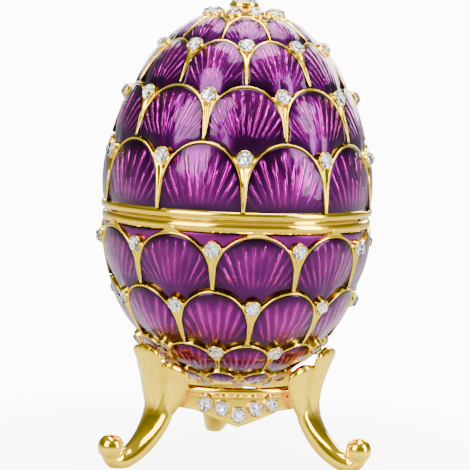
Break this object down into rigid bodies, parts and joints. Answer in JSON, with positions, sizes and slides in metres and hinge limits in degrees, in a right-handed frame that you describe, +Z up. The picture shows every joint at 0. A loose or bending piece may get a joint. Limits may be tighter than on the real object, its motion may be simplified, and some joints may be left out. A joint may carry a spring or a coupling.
{
  "type": "jewelled egg trinket box",
  "caption": "Hollow enamelled egg with overlapping scales and crystals, split by a lift-off lid, resting in a gold stand with leaf-topped legs and ball feet.",
  "frame": {"origin": "middle of the footprint's bounding box, on the surface that the feet stand on", "axes": "+Z up along the egg's axis, -Y to the stand's front pendant; the egg's axis is 1.09 mm towards -Y from the origin, because the back foot reaches further than the egg's front"},
  "size_m": [0.0428, 0.0444, 0.0702],
  "materials": {
    "gold": "bright gold plate over a polished zinc alloy casting",
    "enamel": "translucent deep purple enamel over an engraved casting, between bright gold lines",
    "crystal": "clear cut crystal with a silvered back"
  },
  "bodies": {
    "root": {"base": "enamel", "crown_crystal_01": "crystal", "crown_crystal_02": "crystal", "crown_crystal_03": "crystal", "crown_crystal_04": "crystal", "crown_crystal_05": "crystal", "crown_crystal_06": "crystal", "crown_crystal_07": "crystal", "crown_crystal_08": "crystal", "crown_crystal_09": "crystal", "crown_crystal_10": "crystal", "finial_crystal": "crystal", "lid": "enamel", "lid_crystal_row1_01": "crystal", "lid_crystal_row1_02": "crystal", "lid_crystal_row1_03": "crystal", "lid_crystal_row1_04": "crystal", "lid_crystal_row1_05": "crystal", "lid_crystal_row1_06": "crystal", "lid_crystal_row1_07": "crystal", "lid_crystal_row1_08": "crystal", "lid_crystal_row1_09": "crystal", "lid_crystal_row1_10": "crystal", "lid_crystal_row2_01": "crystal", "lid_crystal_row2_02": "crystal", "lid_crystal_row2_03": "crystal", "lid_crystal_row2_04": "crystal", "lid_crystal_row2_05": "crystal", "lid_crystal_row2_06": "crystal", "lid_crystal_row2_07": "crystal", "lid_crystal_row2_08": "crystal", "lid_crystal_row2_09": "crystal", "lid_crystal_row2_10": "crystal", "lid_crystal_row3_01": "crystal", "lid_crystal_row3_02": "crystal", "lid_crystal_row3_03": "crystal", "lid_crystal_row3_04": "crystal", "lid_crystal_row3_05": "crystal", "lid_crystal_row3_06": "crystal", "lid_crystal_row3_07": "crystal", "lid_crystal_row3_08": "crystal", "lid_crystal_row3_09": "crystal", "lid_crystal_row3_10": "crystal", "stand": "gold", "stand_crystal_front_1": "crystal", "stand_crystal_front_2": "crystal", "stand_crystal_front_3": "crystal", "stand_crystal_front_4": "crystal", "stand_crystal_front_5": "crystal", "stand_crystal_left_1": "crystal", "stand_crystal_left_2": "crystal", "stand_crystal_left_3": "crystal", "stand_crystal_left_4": "crystal", "stand_crystal_left_5": "crystal", "stand_crystal_right_1": "crystal", "stand_crystal_right_2": "crystal", "stand_crystal_right_3": "crystal", "stand_crystal_right_4": "crystal", "stand_crystal_right_5": "crystal"}
  },
  "joints": []
}
